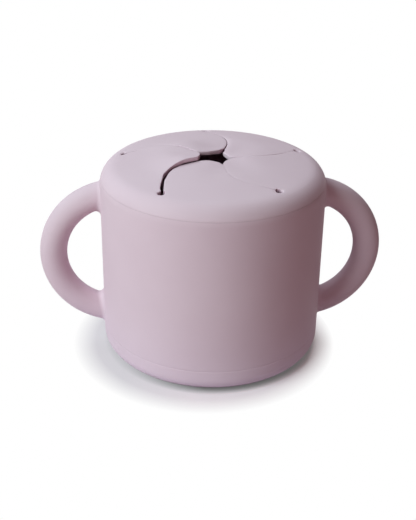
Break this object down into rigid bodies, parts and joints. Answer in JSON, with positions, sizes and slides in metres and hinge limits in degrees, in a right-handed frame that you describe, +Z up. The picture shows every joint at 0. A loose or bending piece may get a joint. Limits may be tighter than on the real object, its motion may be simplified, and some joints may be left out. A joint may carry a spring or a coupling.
{
  "type": "toddler snack container",
  "caption": "Two-handled soft silicone snack cup for a toddler, with a press-in lid whose curved flaps let a hand in and keep snacks from spilling.",
  "frame": {"origin": "middle of the cup's base, on the surface it stands on", "axes": "+Z up; the two handles lie along X; the front of the picture is -Y"},
  "size_m": [0.1404, 0.09, 0.0818],
  "materials": {
    "silicone_cup": "matte moulded silicone",
    "silicone_lid": "matte moulded silicone"
  },
  "bodies": {
    "cup": {"cup_body": "silicone_cup", "handle_left": "silicone_cup", "handle_right": "silicone_cup"},
    "lid": {"lid_rim": "silicone_lid"},
    "flap_front": {"flap_front": "silicone_lid"},
    "flap_right": {"flap_right": "silicone_lid"},
    "flap_back_right": {"flap_back_right": "silicone_lid"},
    "flap_back_left": {"flap_back_left": "silicone_lid"},
    "flap_left": {"flap_left": "silicone_lid"}
  },
  "joints": [
    {"name": "lid_lift", "type": "slide", "parent": "cup", "child": "lid", "axis": [0, 0, 1], "range_m": [0, 0.06]},
    {"name": "flap_front_bend", "type": "hinge", "parent": "lid", "child": "flap_front", "pos_m": [0, -0.02981, 0.07891], "axis": [-1, 0, 0], "range_deg": [-40, 60], "stiffness_Nm_per_rad": 0.01},
    {"name": "flap_right_bend", "type": "hinge", "parent": "lid", "child": "flap_right", "pos_m": [0.02835, -0.00921, 0.07891], "axis": [-0.309, -0.9511, 0], "range_deg": [-40, 60], "stiffness_Nm_per_rad": 0.01},
    {"name": "flap_back_right_bend", "type": "hinge", "parent": "lid", "child": "flap_back_right", "pos_m": [0.01752, 0.02412, 0.07891], "axis": [0.809, -0.5878, 0], "range_deg": [-40, 60], "stiffness_Nm_per_rad": 0.01},
    {"name": "flap_back_left_bend", "type": "hinge", "parent": "lid", "child": "flap_back_left", "pos_m": [-0.01752, 0.02412, 0.07891], "axis": [0.809, 0.5878, 0], "range_deg": [-40, 60], "stiffness_Nm_per_rad": 0.01},
    {"name": "flap_left_bend", "type": "hinge", "parent": "lid", "child": "flap_left", "pos_m": [-0.02835, -0.00921, 0.07891], "axis": [-0.309, 0.9511, 0], "range_deg": [-40, 60], "stiffness_Nm_per_rad": 0.01}
  ]
}
